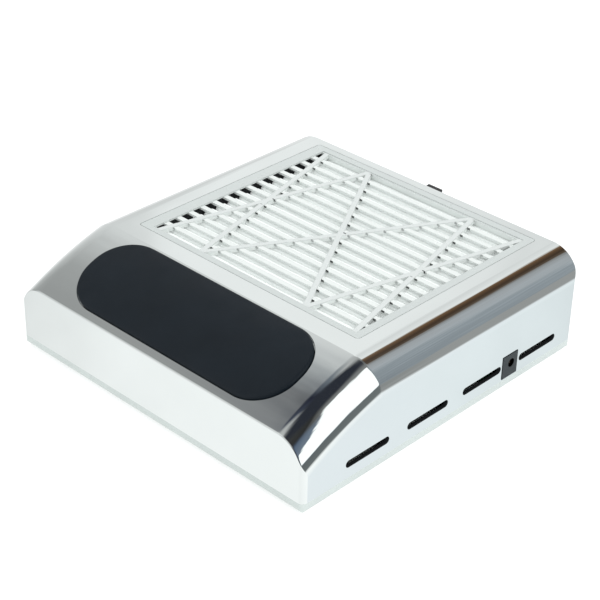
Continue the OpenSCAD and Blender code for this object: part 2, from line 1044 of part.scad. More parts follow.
module switch_terminals() {
    color([0.80, 0.68, 0.40]) placed()
        at_switch() {
            for (s = [-1, 1])
                translate([s * 2.5 - 1.2, -7.45, -13])
                    cube([2.4, 0.6, s < 0 ? 13.8 : 9.6]);
            translate([-3.7, -7.4, -0.4])
                cube([2.4, 1.25, 0.8]);
            translate([1.3, -7.4, -4.6])
                cube([2.4, 0.95, 0.8]);
        }
}

// ---------- cables ----------

cable_r = 1.5;
cable_bend = 4;
cable_z = floor_z + cable_r + 0.2;
plug_top = jack_z + 8.2;
loop_z = plug_top + 8;
fan_lane = 72;
switch_lane = 79;
lug_y = pivot_y - 7.1;
// Each clip: where it sits, and the angle of the cable through it
clips = [[fan_lane, 46, 90], [switch_lane, 96, 90], [40, lug_y, 0]];

module fan_cable() {
    plug = header_at[0];
    color([0.09, 0.09, 0.10]) placed()
        flex([
            [fan_size / 2 + 0.2, 30, fan_z + 5],
            [fan_lane, 30, fan_z + 5],
            [fan_lane, 30, cable_z],
            [fan_lane, plug[1], cable_z],
            [fan_lane, plug[1], loop_z],
            [plug[0], plug[1], loop_z],
            [plug[0], plug[1], plug_top]
        ], cable_r, cable_bend);
}

module switch_cable() {
    plug = header_at[1];
    lug_z = switch_z - 13.1;
    lead_r = 0.6;
    color([0.09, 0.09, 0.10]) placed() {
        flex([
            [0, lug_y, lug_z - 4],
            [0, lug_y, cable_z],
            [switch_lane, lug_y, cable_z],
            [switch_lane, plug[1], cable_z],
            [switch_lane, plug[1], loop_z],
            [plug[0], plug[1], loop_z],
            [plug[0], plug[1], plug_top]
        ], cable_r, cable_bend);
        for (s = [-1, 1])
            flex([
                [2.5 * s, lug_y, lug_z],
                [2.5 * s, lug_y, lug_z - 5.5],
                [0, lug_y, lug_z - 5.5]
            ], lead_r, 1.2);
    }
}

module cable_clips() {
    clip_l = 4;
    clip_w = 8;
    clip_h = 4.8;
    tunnel = 2 * cable_r + 0.4;
    color([0.90, 0.90, 0.88]) placed()
        for (c = clips)
            translate([c[0], c[1], floor_z + 0.02])
                rotate([0, 0, c[2]])
                    difference() {
                        translate([-clip_l / 2, -clip_w / 2, 0])
                            cube([clip_l, clip_w, clip_h]);
                        translate([-clip_l, -tunnel / 2, -1])
                            cube([2 * clip_l, tunnel, tunnel + 1]);
                    }
}

// ---------- nodes ----------

top_shell();
base_plate();
base_screws();
rubber_feet();
pad_cover();
pad_foam();
pad_plate();
filter_frame();
filter_media();
filter_tray();
filter_gasket();
fan_deck();
deck_screws();
fan_guard();
fan_screws();
fan_frame();
fan_rotor();
fan_yoke();
fan_magnet();
fan_shaft();
fan_clip();
bearing_upper();
bearing_lower();
fan_stator();
fan_windings();
fan_board();
power_board();
board_screws();
power_capacitor();
cable_headers();
cable_plugs();
jack_housing();
jack_pin();
jack_spring();
switch_housing();
switch_rocker();
switch_plunger();
switch_lever();
switch_terminals();
fan_cable();
switch_cable();
cable_clips();
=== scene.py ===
"""Looks of the nail dust collector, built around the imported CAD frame. Metres, +Z up."""
import json
import math

import bmesh
import bpy
import numpy as np
from mathutils import Matrix, Vector


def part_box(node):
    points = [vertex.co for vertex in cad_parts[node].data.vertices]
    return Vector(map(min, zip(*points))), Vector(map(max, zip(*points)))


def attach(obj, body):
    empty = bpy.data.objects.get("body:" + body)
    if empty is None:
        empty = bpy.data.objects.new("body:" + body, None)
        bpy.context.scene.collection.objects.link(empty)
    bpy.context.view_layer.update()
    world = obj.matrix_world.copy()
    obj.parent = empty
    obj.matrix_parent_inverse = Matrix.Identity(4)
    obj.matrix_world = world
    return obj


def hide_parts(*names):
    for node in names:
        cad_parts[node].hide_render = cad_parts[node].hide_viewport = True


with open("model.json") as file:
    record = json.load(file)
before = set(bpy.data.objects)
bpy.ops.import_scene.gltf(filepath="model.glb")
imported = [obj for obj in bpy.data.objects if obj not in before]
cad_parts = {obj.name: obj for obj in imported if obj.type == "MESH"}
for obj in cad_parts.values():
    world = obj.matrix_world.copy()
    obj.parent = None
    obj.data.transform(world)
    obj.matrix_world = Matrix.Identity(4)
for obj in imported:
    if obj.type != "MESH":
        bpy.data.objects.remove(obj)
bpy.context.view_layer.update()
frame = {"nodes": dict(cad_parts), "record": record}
NODES = frame["nodes"]
MM = 0.001
RNG = np.random.default_rng(11)


# ---------- sizes, in millimetres ----------

SHELL_BOX = np.array(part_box("top_shell")) / MM
# the housing's own centre, about which everything here is drawn
CENTRE = np.array([0.0, SHELL_BOX[:, 1].mean(), 0.0])


def box_mm(node):
    """Box of a CAD piece in millimetres about the housing's centre."""
    low, high = np.array(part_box(node)) / MM - CENTRE
    return low, high


_, (HALF_W, HALF_D, TOP) = box_mm("top_shell")
SHELL_Z = 8.3  # the shell's lower rim
WALL = 2.5
EDGE_R = 21.0  # rolled edges along both sides
CORNER_R = 4.0  # vertical corners

# palm slope: part of a cylinder along X that meets the top plate at the crest
SLOPE_R = 260.0
CREST_ANGLE = math.radians(14.0)
CREST_Y = -64.0
AXIS_Y = CREST_Y + SLOPE_R * math.sin(CREST_ANGLE)
AXIS_Z = TOP - SLOPE_R * math.cos(CREST_ANGLE)

# outlet slots of each side wall
OUTLET_Y = (-71.5, -18.5, 32.5, 87.5)
OUTLET_Z = 18.0
OUTLET_L, OUTLET_H = 36.5, 4.5

# palm pad: outline along the slope, where its middle lies, recess under the slope, rise over it
PAD_W, PAD_L, PAD_R = 181.0, 58.5, 27.0
PAD_ANGLE = CREST_ANGLE + math.asin(30.5 / SLOPE_R)
PAD_SINK = 1.4
PAD_RISE = 2.4

# grille: slats along X between these two places, and where its diagonal bars end
SLATS_FRONT = -45.5
SLATS_BACK = 112.0
SLAT_PITCH = 10.5
LATTICE_X = (-82.0, -42.5, 48.5, 88.0)


# ---------- mesh helpers ----------

def add_object(name, data):
    obj = bpy.data.objects.new(name, data)
    bpy.context.scene.collection.objects.link(obj)
    return obj


def wear(obj, *finishes):
    """Give an object these materials and no others."""
    obj.data.materials.clear()
    for mat in finishes:
        obj.data.materials.append(mat)


def new_object(name, verts, faces, smooth=True):
    """Mesh object from vertices in millimetres about the housing's centre."""
    mesh = bpy.data.meshes.new(name)
    mesh.from_pydata(((np.array(verts, dtype=float) + CENTRE) * MM).tolist(), [], faces)
    bm = bmesh.new()
    bm.from_mesh(mesh)
    bmesh.ops.remove_doubles(bm, verts=bm.verts, dist=1e-7)
    bmesh.ops.dissolve_degenerate(bm, edges=bm.edges, dist=1e-8)
    bmesh.ops.recalc_face_normals(bm, faces=bm.faces)
    bm.to_mesh(mesh)
    bm.free()
    if smooth:
        for p in mesh.polygons:
            p.use_smooth = True
    return add_object(name, mesh)


def loft(loops):
    """Vertices and faces of a closed skin through loops of equal length, capped at both ends."""
    n = len(loops[0])
    verts = [v for loop in loops for v in loop]
    faces = []
    for k in range(len(loops) - 1):
        for i in range(n):
            j = (i + 1) % n
            faces.append((k * n + i, k * n + j, (k + 1) * n + j, (k + 1) * n + i))
    faces.append(tuple(range(n - 1, -1, -1)))
    base = (len(loops) - 1) * n
    faces.append(tuple(range(base, base + n)))
    return verts, faces


def rounded_outline(w, d, r, steps=8):
    """Counter-clockwise rounded rectangle about the origin."""
    pts = []
    for cx, cy, start in ((1, 1, 0), (-1, 1, 90), (-1, -1, 180), (1, -1, 270)):
        for i in range(steps + 1):
            a = math.radians(start + 90 * i / steps)
            pts.append((cx * (w / 2 - r) + r * math.cos(a), cy * (d / 2 - r) + r * math.sin(a)))
    return pts


def apply_modifiers(obj):
    """Bake the object's modifiers into a mesh of its own."""
    deps = bpy.context.evaluated_depsgraph_get()
    mesh = bpy.data.meshes.new_from_object(obj.evaluated_get(deps))
    old = obj.data
    obj.modifiers.clear()
    obj.data = mesh
    bpy.data.meshes.remove(old)


def boolean(target, cutter, operation="DIFFERENCE"):
    """Cut or join one object into another, and remove it."""
    mod = target.modifiers.new("cut", "BOOLEAN")
    mod.operation = operation
    mod.solver = "EXACT"
    mod.object = cutter
    apply_modifiers(target)
    bpy.data.objects.remove(cutter)


def mark_sharp(obj, degrees):
    """Smooth shading with sharp edges above an angle, and face-weighted normals."""
    limit = math.radians(degrees)
    bm = bmesh.new()
    bm.from_mesh(obj.data)
    for e in bm.edges:
        e.smooth = len(e.link_faces) == 2 and e.calc_face_angle(0) < limit
    for f in bm.faces:
        f.smooth = True
    bm.to_mesh(obj.data)
    bm.free()
    mod = obj.modifiers.new("normals", "WEIGHTED_NORMAL")
    mod.keep_sharp = True
    mod.weight = 100


# ---------- housing ----------

def fillet_drop(x, t):
    """How far the rolled side edge has dropped at x, and its angle."""
    r = EDGE_R - t
    start = HALF_W - EDGE_R
    if abs(x) <= start:
        return 0.0, 0.0
    phi = math.asin(min(1.0, (abs(x) - start) / r))
    return r * (1 - math.cos(phi)), math.copysign(phi, x)


def form_point(x, y, t):
    """Point and outward normal of the housing's upper surface, t inside the outer face."""
    slope_end = CREST_Y + 5
    drop, phi = fillet_drop(x, t)
    side, rise = math.sin(phi), math.cos(phi)
    flat = TOP - t - drop
    reach = SLOPE_R - t - drop
    slope = AXIS_Z + math.sqrt(reach ** 2 - (y - AXIS_Y) ** 2)
    if flat <= slope or y > slope_end:
        return np.array([x, y, flat]), np.array([side, 0.0, rise])
    lean = (AXIS_Y - y) / reach
    return (
        np.array([x, y, slope]),
        np.array([side, -lean * rise, math.sqrt(1 - lean * lean) * rise]),
    )


def crest_y(x, t):
    """Where the slope meets the top plate at x."""
    drop, _ = fillet_drop(x, t)
    flat = TOP - t - drop - AXIS_Z
    return AXIS_Y - math.sqrt((SLOPE_R - t - drop) ** 2 - flat ** 2)


def column_positions(t, fillet_steps, flat_steps):
    """Places across the housing, close together where the side edges roll over."""
    r = EDGE_R - t
    start = HALF_W - EDGE_R
    fillet = [start + r * math.sin(math.pi / 2 * i / fillet_steps) for i in range(fillet_steps + 1)]
    flat = [start * (2 * i / flat_steps - 1) for i in range(1, flat_steps)]
    return [-x for x in reversed(fillet)] + flat + fillet


def plan_end(x, t, corner):
    """Half depth of the plan outline at x, and the x part of its outward normal."""
    over = abs(x) - (HALF_W - t - corner)
    if over <= 0:
        return HALF_D - t, 0.0
    over = min(over, corner)
    return HALF_D - t - corner + math.sqrt(corner ** 2 - over ** 2), math.copysign(over / corner, x)


def rolled_edge(x, end, t, corner, radius, steps):
    """Points that round the upper surface over into the front (end -1) or back (end 1)."""
    reach, nx = plan_end(x, t, corner)
    point, n1 = form_point(x, end * reach, t)
    n2 = np.array([nx, end * math.sqrt(max(0.0, 1 - nx * nx)), 0.0])
    centre = point - radius * (n1 + n2) / (1 + n1 @ n2)
    angle = math.acos(max(-1.0, min(1.0, n1 @ n2)))
    if angle < 1e-4:
        return [point] * (steps + 1)
    out = []
    for k in range(steps + 1):
        s = k / steps
        n = (math.sin((1 - s) * angle) * n1 + math.sin(s * angle) * n2) / math.sin(angle)
        out.append(centre + radius * n)
    return out


def surface_column(x, t, corner, edge, rows_back, rows_front, edge_steps):
    """Points over the housing at x, from its back wall to its front wall."""
    soft = 1.6  # half width of the close rows at the crest
    back_edge = rolled_edge(x, 1, t, corner, edge, edge_steps)
    front_edge = rolled_edge(x, -1, t, corner, edge, edge_steps)
    crest = crest_y(x, t)
    back = back_edge[0][1]
    front = front_edge[0][1]
    ys = [back + (crest + soft - back) * (i / rows_back) for i in range(1, rows_back + 1)]
    ys += [crest + soft / 2, crest, crest - soft / 2]
    ys += [crest - soft + (front - crest + soft) * i / rows_front for i in range(rows_front)]
    return back_edge[::-1] + [form_point(x, y, t)[0] for y in ys] + front_edge


def housing_form(name, t, bottom, corner, edge, fine):
    """Closed solid of the housing's outside, t inside its outer face.

    fine counts the steps round a side edge, across the top, behind the crest, in front of it
    and round the front and back edges.
    """
    fillet_steps, flat_steps, *rows = fine
    xs = column_positions(t, fillet_steps, flat_steps)
    columns = [surface_column(x, t, corner, edge, *rows) for x in xs]
    n, last = len(columns[0]), len(xs) - 1
    verts = [v for c in columns for v in c]
    faces = []
    for i in range(last):
        for k in range(n - 1):
            faces.append((i * n + k, i * n + k + 1, (i + 1) * n + k + 1, (i + 1) * n + k))
    # the foot of each column's two ends, and the walls down to it
    foot = {}
    for i, column in enumerate(columns):
        for k in (0, n - 1):
            foot[i, k] = len(verts)
            verts.append(np.array([*column[k][:2], bottom]))
    plane = [i for i, x in enumerate(xs) if abs(x) <= HALF_W - t - corner + 1e-6]
    for k in (0, n - 1):
        for i in range(last):
            if i not in plane or i + 1 not in plane:
                faces.append((i * n + k, (i + 1) * n + k, foot[i + 1, k], foot[i, k]))
        faces.append(tuple([i * n + k for i in plane] + [foot[plane[-1], k], foot[plane[0], k]]))
    for i in (0, last):
        faces.append(tuple([i * n + k for k in range(n)] + [foot[i, n - 1], foot[i, 0]]))
    across = range(len(xs))
    faces.append(tuple([foot[i, n - 1] for i in across] + [foot[i, 0] for i in reversed(across)]))
    return new_object(name, verts, faces)


def outline_half(q, w, length, r):
    """Half width of a rounded rectangle at q from its middle."""
    over = max(0.0, abs(q) - (length / 2 - r))
    return w / 2 - r + math.sqrt(max(0.0, r * r - over * over))


def slab(name, inner, outer, rows=48):
    """Plate that follows the slope between two layers, each an (inset, radius) of the pad's outline."""
    verts, faces = [], []
    for j in range(rows + 1):
        for inset, radius in (inner, outer):
            w, length, r = PAD_W - 2 * inset, PAD_L - 2 * inset, PAD_R - inset
            q = -length / 2 * math.cos(math.pi * j / rows)
            half = outline_half(q, w, length, r)
            for s in (-1, 1):
                verts.append(on_slope(s * half, q, radius))
    for j in range(rows):
        a, b = 4 * j, 4 * j + 4
        faces += [(a, a + 1, b + 1, b), (a + 2, b + 2, b + 3, a + 3)]
        faces += [(a, b, b + 2, a + 2), (a + 1, a + 3, b + 3, b + 1)]
    faces.append((0, 2, 3, 1))
    e = 4 * rows
    faces.append((e, e + 1, e + 3, e + 2))
    return new_object(name, verts, faces, smooth=False)


def on_slope(x, q, radius):
    """Point at q along the pad and at a radius from the slope's axis."""
    z = math.sqrt(radius ** 2 - q ** 2)
    c, s = math.cos(PAD_ANGLE), math.sin(PAD_ANGLE)
    return np.array([x, AXIS_Y + q * c - z * s, AXIS_Z + q * s + z * c])


def prism(name, outline, z0, z1):
    """Upright solid from an outline of (x, y)."""
    return new_object(name, *loft([[(x, y, z) for x, y in outline] for z in (z0, z1)]), smooth=False)


def stadium(length, height, steps=10):
    r = height / 2
    pts = []
    for s, start in ((1, -90), (-1, 90)):
        for i in range(steps + 1):
            a = math.radians(start + 180 * i / steps)
            pts.append((s * (length / 2 - r) + r * math.cos(a), r * math.sin(a)))
    return pts


def outlet_cutter(y, side):
    """Slot through a side wall with a chamfered mouth."""
    chamfer = 0.3
    over = 1.0
    loops = []
    for depth, grow in ((over, chamfer + over), (-chamfer, 0.0), (-WALL - 1.5 * over, 0.0)):
        loops.append([
            (side * (HALF_W + depth), y + a, OUTLET_Z + b)
            for a, b in stadium(OUTLET_L + 2 * grow, OUTLET_H + 2 * grow)
        ])
    return new_object("outlet", *loft(loops), smooth=False)


def rectangle(low, high):
    return [(low[0], low[1]), (high[0], low[1]), (high[0], high[1]), (low[0], high[1])]


def cut_filter_seat(shell):
    """Stepped recess: a ledge under the cartridge's flange, and an opening for its tray."""
    seam = 0.35
    ledge_z = TOP - 1.25
    ledge_t = 3.0
    ledge_margin = 5.6
    well_margin = 0.8
    flange_low, flange_high = box_mm("filter_frame")
    flange = flange_high - flange_low
    well_low, well_high = box_mm("filter_gasket")
    well = well_high - well_low

    def outline(size, margin, r, low, high):
        cy = (low[1] + high[1]) / 2
        return [(x, y + cy) for x, y in rounded_outline(size[0] + margin, size[1] + margin, r)]

    ledge = outline(flange, ledge_margin, 4, flange_low, flange_high)
    boolean(shell, prism("ledge", ledge, ledge_z - ledge_t, ledge_z + 0.2), "UNION")
    pocket = outline(flange, 2 * seam, 2.5, flange_low, flange_high)
    boolean(shell, prism("pocket", pocket, ledge_z, TOP + 3))
    opening = outline(well, well_margin, 2, well_low, well_high)
    boolean(shell, prism("opening", opening, ledge_z - ledge_t - 2, TOP))


def cut_pad_recess(shell):
    """Recess for the palm pad, with a chamfered rim."""
    rim = 0.35
    boolean(shell, slab("recess", (0.0, SLOPE_R - PAD_SINK), (0.0, SLOPE_R + 5)))
    boolean(shell, slab("rim", (0.0, SLOPE_R - rim), (-3 * rim, SLOPE_R + 2 * rim)))


def cut_socket_window(shell):
    gap = 0.15
    low, high = box_mm("jack_housing")
    window = rectangle(low[1:] - gap, high[1:] + gap)
    loops = [[(x, y, z) for y, z in window] for x in (HALF_W - 2 * WALL, HALF_W + 2)]
    boolean(shell, new_object("socket_window", *loft(loops), smooth=False))


def cut_switch_window(shell):
    """Opening that the switch's body passes through, covered by its bezel."""
    half_w, half_h = 7.2, 8.4
    low, high = box_mm("switch_housing")
    mid = (low[2] + high[2]) / 2
    window = rectangle((-half_w, mid - half_h), (half_w, mid + half_h))
    loops = [[(x, y, z) for x, z in window] for y in (HALF_D - 2 * WALL, HALF_D + 2)]
    boolean(shell, new_object("switch_window", *loft(loops), smooth=False))


def build_shell():
    shell = housing_form("shell", 0.0, SHELL_Z, CORNER_R, 0.9, (26, 26, 24, 60, 5))
    inner = housing_form("inner", WALL, SHELL_Z - 1, CORNER_R - WALL / 2, 0.2, (8, 8, 6, 16, 1))
    boolean(shell, inner)
    cut_filter_seat(shell)
    cut_pad_recess(shell)
    for side in (-1, 1):
        for y in OUTLET_Y:
            boolean(shell, outlet_cutter(y, side))
    cut_socket_window(shell)
    cut_switch_window(shell)
    mark_sharp(shell, 33)
    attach(shell, "housing")
    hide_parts("top_shell")
    return shell


def dress_shell(shell, outside, inside):
    """Plating outside; near-black painted shade inside the housing, seen through the outlet slots and on
    the walls behind them.
    """
    wear(shell, outside, inside)
    skin = 0.05
    shade_paint_top = OUTLET_Z + 2 * OUTLET_H
    for face in shell.data.polygons:
        x, y, z = np.array(face.center) / MM - CENTRE
        # painted shade: inside faces up to shade_paint_top wear the near-black finish
        if abs(x) < HALF_W - skin and abs(y) < HALF_D - CORNER_R and z < shade_paint_top:
            face.material_index = 1


# ---------- palm pad ----------

def pad_grid(nx, nq):
    """Points of the pad's top and underside, which of them the cloth can't move, and the faces."""
    gap = 0.25
    w, length, r = PAD_W - 2 * gap, PAD_L - 2 * gap, PAD_R - gap
    base = SLOPE_R - PAD_SINK + 0.1
    rim = 1.5  # width of the rounded rim
    rim_foot = 0.75  # where the rim starts, above the slope
    rim_rise = PAD_RISE - 1.05
    held = 0.45  # share of the rim's width that can't move

    def edge_distance(x, q):
        cx, cq = max(0.0, abs(x) - (w / 2 - r)), max(0.0, abs(q) - (length / 2 - r))
        if cx > 0 and cq > 0:
            return r - math.hypot(cx, cq)
        return min(w / 2 - abs(x), length / 2 - abs(q))

    verts, pinned = [], []
    top, bottom = {}, {}
    for j in range(nq + 1):
        q = -length / 2 * math.cos(math.pi * j / nq)
        half = outline_half(q, w, length, r)
        for i in range(nx + 1):
            x = -half * math.cos(math.pi * i / nx)
            s = max(0.0, min(1.0, edge_distance(x, q) / rim))
            lift = math.sqrt(max(0.0, 1 - (1 - s) ** 2))
            top[i, j] = len(verts)
            verts.append(on_slope(x, q, SLOPE_R + rim_foot + rim_rise * lift))
            pinned.append(s < held)
            bottom[i, j] = len(verts)
            verts.append(on_slope(x, q, base))
            pinned.append(True)
    faces = []
    for j in range(nq):
        for i in range(nx):
            faces.append((top[i, j], top[i + 1, j], top[i + 1, j + 1], top[i, j + 1]))
            faces.append((bottom[i, j], bottom[i, j + 1], bottom[i + 1, j + 1], bottom[i + 1, j]))
    for j in range(nq):
        faces.append((top[0, j], top[0, j + 1], bottom[0, j + 1], bottom[0, j]))
        faces.append((top[nx, j + 1], top[nx, j], bottom[nx, j], bottom[nx, j + 1]))
    for i in range(nx):
        faces.append((top[i + 1, 0], top[i, 0], bottom[i, 0], bottom[i + 1, 0]))
        faces.append((top[i, nq], top[i + 1, nq], bottom[i + 1, nq], bottom[i, nq]))
    return verts, pinned, faces


def build_pad():
    """Closed cushion that is puffed up by cloth pressure, with its rim held."""
    verts, pinned, faces = pad_grid(72, 26)
    mesh = bpy.data.meshes.new("palm_pad")
    mesh.from_pydata(((np.array(verts) + CENTRE) * MM).tolist(), [], faces)
    pad = add_object("palm_pad", mesh)
    group = pad.vertex_groups.new(name="held")
    group.add([i for i, fixed in enumerate(pinned) if fixed], 1.0, "REPLACE")
    puff(pad)
    for p in pad.data.polygons:
        p.use_smooth = True
    bm = bmesh.new()
    bm.from_mesh(pad.data)
    bmesh.ops.recalc_face_normals(bm, faces=bm.faces)
    bm.to_mesh(pad.data)
    bm.free()
    sub = pad.modifiers.new("smooth", "SUBSURF")
    sub.levels = sub.render_levels = 1
    apply_modifiers(pad)
    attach(pad, "housing")
    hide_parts("pad_cover")
    return pad


def puff(obj, pressure=4.0, cap=0.0009, frames=20):
    """Cloth with inner pressure; no point travels further than cap, in metres."""
    rest = np.array([v.co for v in obj.data.vertices])
    mod = obj.modifiers.new("cloth", "CLOTH")
    settings = mod.settings
    settings.quality = 6
    settings.mass = 0.15
    settings.use_pressure = True
    settings.uniform_pressure_force = pressure
    settings.vertex_group_mass = "held"
    settings.pin_stiffness = 1.0
    settings.effector_weights.gravity = 0
    settings.tension_stiffness = settings.compression_stiffness = 40
    settings.bending_stiffness = 2
    mod.point_cache.frame_start, mod.point_cache.frame_end = 1, frames
    scene = bpy.context.scene
    for f in range(1, frames + 1):
        scene.frame_set(f)
    deps = bpy.context.evaluated_depsgraph_get()
    done = obj.evaluated_get(deps).to_mesh()
    moved = np.array([v.co for v in done.vertices])
    obj.evaluated_get(deps).to_mesh_clear()
    obj.modifiers.clear()
    step = moved - rest
    far = np.linalg.norm(step, axis=1, keepdims=True)
    step = step / np.maximum(far, 1e-12) * cap * np.tanh(far / cap)
    obj.data.vertices.foreach_set("co", (rest + step).astype(np.float32).ravel())
    obj.data.update()
    scene.frame_set(1)


# ---------- filter paper ----------

def pleat_profile():
    """Offsets across one pleat and how far each lies below the ridge: round ridge, narrow valley."""
    ridge_r = 1.95
    half = [0.0, 0.55, 1.05, 1.45, 1.72, 1.87]
    drop = [ridge_r - math.sqrt(ridge_r ** 2 - d * d) for d in half]
    half += [2.25, 2.52]
    drop += [8.0, 10.2]
    across = [-d for d in reversed(half)] + half[1:]
    return across, list(reversed(drop)) + drop[1:]


def diagonals(lean):
    """Where each diagonal bar of one lean starts at the front and ends at the back."""
    pairs = list(zip(LATTICE_X, LATTICE_X[1:]))
    return [(b, a) for a, b in pairs] if lean < 0 else pairs


def paper_slits(top):
    """Small openings beside each diagonal bar, one per opening between slats, as one cutter."""
    verts, faces = [], []
    run = SLATS_BACK - SLATS_FRONT
    count = int(run / SLAT_PITCH)
    depth = 13
    shift_x, shift_y = -3.27, 3.45  # from the bar's top face down and back to the paper
    # lean of the bar, place in the opening, distance beside the bar, half sizes
    kinds = ((-1, 0.80, 2.7, (1.25, 0.95)), (1, 0.52, 2.4, (0.8, 0.45)))
    places = []
    for k in range(len(LATTICE_X) - 1):
        for lean, phase, aside, size in kinds:
            start, end = diagonals(lean)[k]
            for j in range(count):
                y = SLATS_FRONT + (j + phase) * SLAT_PITCH
                x = start + (end - start) * (y - SLATS_FRONT) / run + aside
                places.append((x + shift_x, y + shift_y, size))
    for x, y, size in places:
        if y > SLATS_BACK - 2 or x < LATTICE_X[0] or x > LATTICE_X[-1] - 1:
            continue
        base = len(verts)
        for z in (top - depth, top + 1):
            for a, b in ((-1, -1), (1, -1), (1, 1), (-1, 1)):
                verts.append((x + a * size[0], y + b * size[1], z))
        faces += [tuple(base + i for i in f) for f in (
            (3, 2, 1, 0), (4, 5, 6, 7), (0, 1, 5, 4), (1, 2, 6, 5), (2, 3, 7, 6), (3, 0, 4, 7))]
    return new_object("slits", verts, faces, smooth=False)


def pleat_rows(count):
    """(pleat, y, depth below the ridge) of every row of points from front to back."""
    pitch = SLAT_PITCH / 2
    middle = (SLATS_FRONT + SLATS_BACK) / 2
    margin = 1.5  # from the first and last slat to the sheet's ends
    across, drop = pleat_profile()
    rows = []
    for k in range(count):
        ridge_y = middle + (k - (count - 1) / 2) * pitch
        rows += [(k, ridge_y + d, fall) for d, fall in zip(across, drop)
                 if SLATS_FRONT + margin < ridge_y + d < SLATS_BACK - margin]
    return rows


def sheet_faces(rows, nx):
    """Faces of a closed sheet: two layers of rows of nx + 1 points, and its four sides."""
    row = nx + 1
    layer = rows * row
    faces = []
    for a in range(rows - 1):
        for b in range(nx):
            i = a * row + b
            faces.append((i, i + 1, i + row + 1, i + row))
            faces.append((layer + i, layer + i + row, layer + i + row + 1, layer + i + 1))
        for b in (0, nx):
            i = a * row + b
            faces.append((i, i + row, layer + i + row, layer + i))
    for b in range(nx):
        for a in (0, rows - 1):
            i = a * row + b
            faces.append((i, i + 1, layer + i + 1, layer + i))
    return faces


def build_media():
    """Closed sheet of pleated paper with small variations from pleat to pleat."""
    low, high = box_mm("filter_media")
    count = 31
    nx = 60
    thick = 0.5
    top = high[2] + 0.45
    left = low[0] + 2.2
    valley = 8.0  # the pleats run straight this far below their ridges
    wander = RNG.uniform(0, 2 * math.pi, (count, 3))
    lift = RNG.uniform(-0.25, 0.15, count)
    rows = pleat_rows(count)
    verts = []
    for side in (0, 1):
        for k, y, fall in rows:
            near_ridge = max(0.0, 1 - fall / valley)
            for b in range(nx + 1):
                u = b / nx
                x = left + (high[0] - left) * u
                bend = 0.20 * math.sin(2 * math.pi * 1.3 * u + wander[k, 0])
                bend += 0.10 * math.sin(2 * math.pi * 4.1 * u + wander[k, 1])
                wave = lift[k] + 0.15 * math.sin(9 * u + wander[k, 2])
                z = top + wave * near_ridge - fall
                verts.append((x, y + bend * near_ridge, z - thick * side))
    media = new_object("pleated_paper", verts, sheet_faces(len(rows), nx))
    boolean(media, paper_slits(top))
    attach(media, "filter_cartridge")
    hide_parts("filter_media")
    return media


# ---------- shader helpers ----------

def maths(tree, op, a, b=None):
    """One step of arithmetic between sockets or numbers."""
    n = tree.nodes.new("ShaderNodeMath")
    n.operation = op
    for slot, value in enumerate((a, b)):
        if value is None:
            continue
        if isinstance(value, (int, float)):
            n.inputs[slot].default_value = value
        else:
            tree.links.new(value, n.inputs[slot])
    return n.outputs[0]


def axes(tree, coordinates):
    """X, Y and Z of the named texture coordinates, and the coordinates themselves."""
    place = tree.nodes.new("ShaderNodeTexCoord").outputs[coordinates]
    split = tree.nodes.new("ShaderNodeSeparateXYZ")
    tree.links.new(place, split.inputs[0])
    return (*split.outputs[:3], place)


def noise(tree, place, scale, detail):
    n = tree.nodes.new("ShaderNodeTexNoise")
    n.inputs["Scale"].default_value = scale
    n.inputs["Detail"].default_value = detail
    tree.links.new(place, n.inputs["Vector"])
    return n.outputs["Fac"]


def remap(tree, value, from_min, from_max, to_min=0.0, to_max=1.0, smooth=False):
    m = tree.nodes.new("ShaderNodeMapRange")
    if smooth:
        m.interpolation_type = "SMOOTHSTEP"
    m.inputs["From Min"].default_value = from_min
    m.inputs["From Max"].default_value = from_max
    m.inputs["To Min"].default_value = to_min
    m.inputs["To Max"].default_value = to_max
    tree.links.new(value, m.inputs["Value"])
    return m.outputs["Result"]


def mix(tree, factor, a, b):
    """Blend of two colours, each a socket or (red, green, blue)."""
    m = tree.nodes.new("ShaderNodeMix")
    m.data_type = "RGBA"
    tree.links.new(factor, m.inputs["Factor"])
    for key, value in (("A", a), ("B", b)):
        if isinstance(value, tuple):
            m.inputs[key].default_value = (*value, 1)
        else:
            tree.links.new(value, m.inputs[key])
    return m.outputs["Result"]


# ---------- materials ----------

def material(name, color, metallic=0.0, rough=0.5, spread=0.06, grain=(900, 0.05), tint=0.05,
             bevel=0.0, coat=0.0, specular=0.5, glow=0.0):
    """Principled surface with noise in its colour, roughness and relief.

    grain is (scale, strength) of the relief; bevel is the radius in millimetres that edges show; glow is
    painted light, which the surface gives off in its own colour.
    """
    mat = bpy.data.materials.new(name)
    mat.use_nodes = True
    tree = mat.node_tree
    nodes, links = tree.nodes, tree.links
    bsdf = nodes["Principled BSDF"]
    *_, place = axes(tree, "Object")
    usual = (0.25, 0.75)  # span of most of the noise's values
    wear_marks = remap(tree, noise(tree, place, 60, 4), *usual, max(0.0, rough - spread), rough + spread)
    links.new(wear_marks, bsdf.inputs["Roughness"])
    darker = tuple(c * (1 - tint) for c in color)
    paler = tuple(min(1.0, c * (1 + tint)) for c in color)
    shade = mix(tree, remap(tree, noise(tree, place, 35, 3), *usual), darker, paler)
    links.new(shade, bsdf.inputs["Base Color"])
    relief = nodes.new("ShaderNodeBump")
    relief.inputs["Strength"].default_value = grain[1]
    relief.inputs["Distance"].default_value = 0.0004
    links.new(noise(tree, place, grain[0], 3), relief.inputs["Height"])
    if bevel:
        soft = nodes.new("ShaderNodeBevel")
        soft.samples = 4
        soft.inputs["Radius"].default_value = bevel * MM
        links.new(soft.outputs["Normal"], relief.inputs["Normal"])
    links.new(relief.outputs["Normal"], bsdf.inputs["Normal"])
    bsdf.inputs["Metallic"].default_value = metallic
    bsdf.inputs["Coat Weight"].default_value = coat
    # painted light: the surface gives off light in its own colour
    if glow:
        bsdf.inputs["Emission Color"].default_value = (*color, 1)
        bsdf.inputs["Emission Strength"].default_value = glow
    bsdf.inputs["Specular IOR Level"].default_value = specular
    return mat


